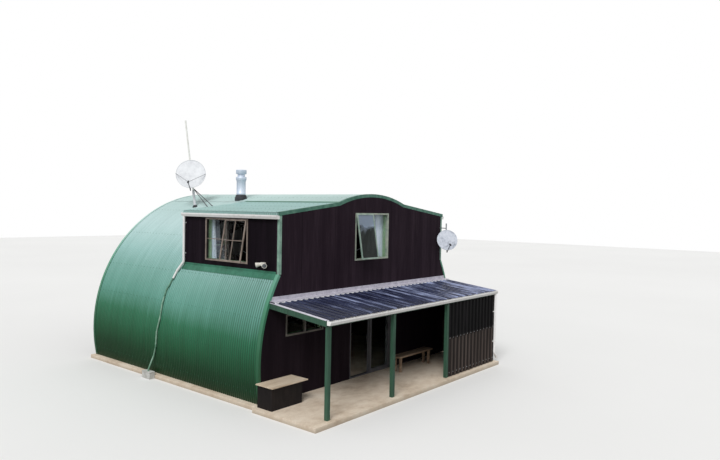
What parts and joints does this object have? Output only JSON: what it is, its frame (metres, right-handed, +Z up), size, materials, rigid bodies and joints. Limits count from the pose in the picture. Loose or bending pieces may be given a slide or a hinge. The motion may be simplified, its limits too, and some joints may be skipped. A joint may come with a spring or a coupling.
{
  "type": "backcountry hut",
  "caption": "Round-arched metal hut on a slab, with side dormers, stained ply end walls, a ribbed lean-to verandah and a sliding door.",
  "frame": {"origin": "on the ground, on the centre line of the front wall, at the wall's face", "axes": "+X to the right as seen from the front, +Y back along the hut, +Z up"},
  "size_m": [8.4701, 9.46, 7.2672],
  "materials": {
    "black_ribbed_sheet": "ribbed steel sheet, black paint, gloss",
    "black_rubber": "black rubber boot, matt",
    "bronze_frame": "aluminium, taupe bronze paint, satin",
    "concrete": "broom-finished concrete, matt",
    "cream_frame": "aluminium, pale green-white paint, satin",
    "dark_green_flashing": "folded steel, dark green paint, satin",
    "dark_ply_box": "plywood with black-brown stain, matt",
    "dark_ribbed_sheet": "ribbed steel sheet, blue-black paint, gloss",
    "dish_grey": "steel with grey-white paint, stained",
    "dish_white": "steel with off-white paint, satin",
    "door_glass": "clear glass",
    "door_metal": "aluminium, bronze paint, satin",
    "feed_metal": "dark grey painted steel arm with a plastic feed head",
    "floor_boards": "timber floor, clear finish",
    "flue_steel": "bare steel, dull",
    "galvanised_steel": "galvanised steel tube, dull",
    "green_flashing": "folded steel, green paint, satin",
    "green_pipe": "plastic pipe painted pale green, chalked",
    "green_sheet": "corrugated steel sheet, mid green paint, satin, weathered",
    "green_timber": "timber with green paint, matt",
    "gully_plastic": "off-white plastic, stained",
    "lamp_plastic": "pale grey plastic and metal lamp heads",
    "lining": "plywood lining over insulation, clear finish",
    "pale_flashing": "folded steel, pale grey paint, satin",
    "pale_green_sheet": "corrugated steel sheet, faded green paint, satin",
    "pale_green_trim": "folded steel, pale green paint, satin",
    "pale_ply": "bare plywood, weathered",
    "plank_timber": "bare planks, weathered",
    "stained_ply": "plywood with black-brown stain, matt",
    "stained_timber": "timber with dark stain, matt",
    "white_rainwater": "off-white plastic, gloss, chalked",
    "window_glass": "clear glass"
  },
  "bodies": {
    "hut": {"apron_flashing": "pale_flashing", "arch_barges": "green_flashing", "arch_lining_crown": "lining", "arch_lining_sides": "lining", "arch_sheet_crown_front": "green_sheet", "arch_sheet_crown_rear": "green_sheet", "arch_sheet_left": "green_sheet", "arch_sheet_right": "green_sheet", "awning_sashes": "bronze_frame", "base_flashings": "dark_green_flashing", "door_fixed_glass": "door_glass", "door_fixed_leaf": "door_metal", "door_frame": "door_metal", "dormer_cheeks": "stained_ply", "dormer_gutters": "white_rainwater", "dormer_roof_left": "pale_green_sheet", "dormer_roof_right": "pale_green_sheet", "dormer_wall_left": "stained_ply", "dormer_wall_right": "stained_ply", "dormer_window_frames": "bronze_frame", "end_window_frames": "cream_frame", "floodlights": "lamp_plastic", "floor_slab": "concrete", "flue_boot": "black_rubber", "flue_pipe": "flue_steel", "front_gable": "stained_ply", "front_wall_left": "stained_ply", "front_wall_right": "stained_ply", "gable_trim": "pale_green_trim", "gully_box": "gully_plastic", "plank_bench": "plank_timber", "rear_wall_lower": "stained_ply", "rear_wall_upper": "stained_ply", "ribbed_screens": "black_ribbed_sheet", "roof_dish": "dish_white", "roof_dish_feed": "feed_metal", "roof_dish_mount": "galvanised_steel", "side_dish": "dish_grey", "side_dish_feed": "feed_metal", "side_dish_mount": "galvanised_steel", "storage_box": "dark_ply_box", "storage_box_lid": "pale_ply", "upper_floor": "floor_boards", "verandah_barges": "green_timber", "verandah_beam": "green_timber", "verandah_gutter": "white_rainwater", "verandah_posts": "green_timber", "verandah_rafters": "stained_timber", "verandah_roof": "dark_ribbed_sheet", "wall_pipe": "green_pipe", "window_glass": "window_glass"},
    "door_leaf": {"door_sliding_leaf": "door_metal", "door_sliding_glass": "door_glass"}
  },
  "joints": [
    {"name": "door_slide", "type": "slide", "parent": "hut", "child": "door_leaf", "axis": [-1, 0, 0], "range_m": [0, 0.785]}
  ]
}
